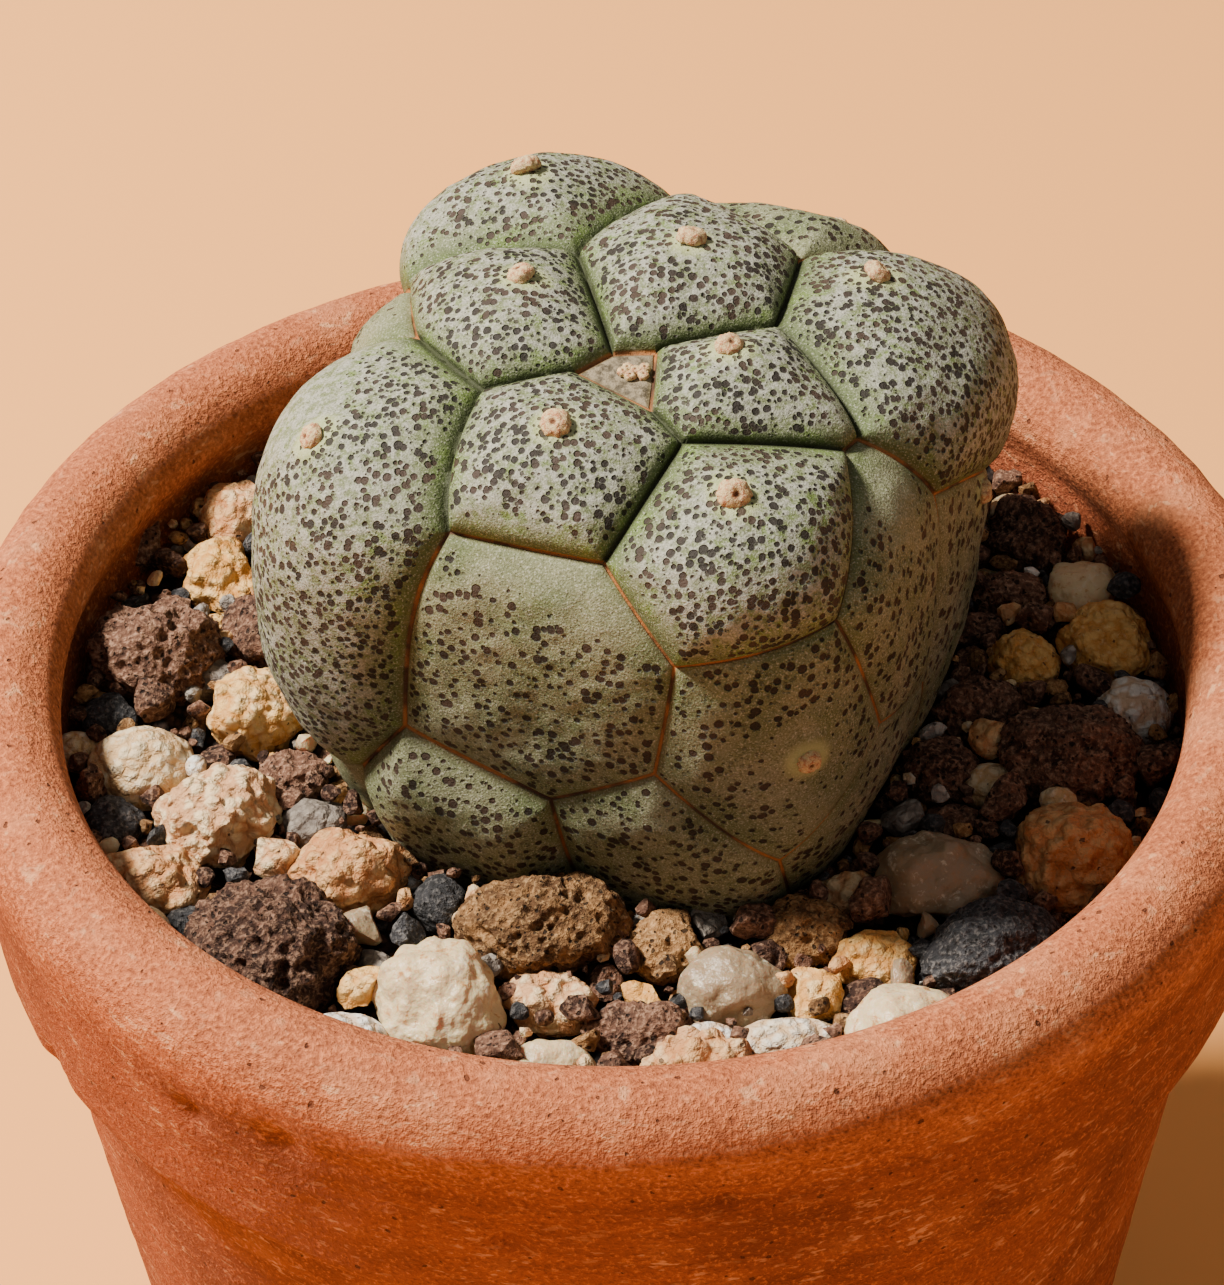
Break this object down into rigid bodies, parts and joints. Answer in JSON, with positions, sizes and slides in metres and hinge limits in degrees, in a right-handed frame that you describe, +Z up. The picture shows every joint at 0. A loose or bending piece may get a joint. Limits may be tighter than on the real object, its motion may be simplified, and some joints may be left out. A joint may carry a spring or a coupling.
{
  "type": "potted pseudolithos",
  "caption": "Cube-shaped stem succulent of swollen grey-green tubercles, set in gritty mix with a stone top dressing, in a terracotta pot with a collar and rolled lip.",
  "frame": {"origin": "middle of the pot's underside, on the surface that it stands on", "axes": "+Z up along the pot's axis; the pictured side faces -Y, with +X to its right"},
  "size_m": [0.107, 0.107, 0.1275],
  "materials": {
    "black_lava": "black lava with small facets, dull sheen",
    "brown_lava": "porous red-brown lava, matt",
    "cream_grit": "bumpy cream and peach grit, matt",
    "old_terracotta": "broken unglazed terracotta, matt",
    "grey_grit": "speckled grey grit, matt",
    "plant_skin": "grey-green waxy skin with dark brown pits, satin",
    "terracotta": "unglazed terracotta with pale lime bloom, matt",
    "quartz": "cloudy quartz, slightly glossy",
    "gritty_mix": "damp brown mineral grit, matt",
    "tan_lava": "porous tan lava, matt",
    "white_pebble": "smooth white pebble, satin",
    "yellow_grit": "bumpy yellow-cream grit, matt"
  },
  "bodies": {
    "root": {"black_lava_01": "black_lava", "black_lava_02": "black_lava", "black_lava_03": "black_lava", "black_lava_04": "black_lava", "brown_lava_01": "brown_lava", "brown_lava_02": "brown_lava", "brown_lava_03": "brown_lava", "brown_lava_04": "brown_lava", "brown_lava_05": "brown_lava", "brown_lava_06": "brown_lava", "brown_lava_07": "brown_lava", "brown_lava_08": "brown_lava", "brown_lava_09": "brown_lava", "brown_lava_10": "brown_lava", "brown_lava_11": "brown_lava", "brown_lava_12": "brown_lava", "brown_lava_13": "brown_lava", "cream_grit_01": "cream_grit", "cream_grit_02": "cream_grit", "cream_grit_03": "cream_grit", "cream_grit_04": "cream_grit", "cream_grit_05": "cream_grit", "cream_grit_06": "cream_grit", "cream_grit_07": "cream_grit", "cream_grit_08": "cream_grit", "cream_grit_09": "cream_grit", "drain_crock": "old_terracotta", "grey_grit_01": "grey_grit", "grey_grit_02": "grey_grit", "grey_grit_03": "grey_grit", "grey_grit_04": "grey_grit", "grey_grit_05": "grey_grit", "plant": "plant_skin", "pot": "terracotta", "quartz_01": "quartz", "quartz_02": "quartz", "quartz_03": "quartz", "quartz_04": "quartz", "quartz_05": "quartz", "quartz_06": "quartz", "quartz_07": "quartz", "soil": "gritty_mix", "tan_lava_01": "tan_lava", "tan_lava_02": "tan_lava", "tan_lava_03": "tan_lava", "tan_lava_04": "tan_lava", "tan_lava_05": "tan_lava", "white_pebble_01": "white_pebble", "white_pebble_02": "white_pebble", "white_pebble_03": "white_pebble", "white_pebble_04": "white_pebble", "yellow_grit_01": "yellow_grit", "yellow_grit_02": "yellow_grit", "yellow_grit_03": "yellow_grit", "yellow_grit_04": "yellow_grit", "yellow_grit_05": "yellow_grit", "yellow_grit_06": "yellow_grit", "yellow_grit_07": "yellow_grit", "yellow_grit_08": "yellow_grit"}
  },
  "joints": []
}
